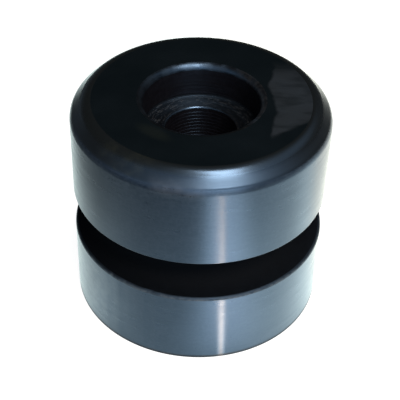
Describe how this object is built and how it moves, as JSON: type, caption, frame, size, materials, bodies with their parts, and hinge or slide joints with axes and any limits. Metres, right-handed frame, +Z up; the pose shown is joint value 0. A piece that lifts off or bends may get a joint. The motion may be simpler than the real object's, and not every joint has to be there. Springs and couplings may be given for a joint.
{
  "type": "radiator insulator",
  "caption": "Round two-flanged rubber mount with a deep groove for a bracket's edge, a bevelled top and a stepped bore, which isolates a radiator from its frame.",
  "frame": {"origin": "centre of the underside, on the bore's axis", "axes": "+Z up the bore axis towards the counterbore; X and Y are free, because the part is round"},
  "size_m": [0.0636, 0.0634, 0.057],
  "materials": {
    "black_rubber": "hard black rubber, satin where it was turned"
  },
  "bodies": {
    "root": {"insulator_body": "black_rubber"}
  },
  "joints": []
}
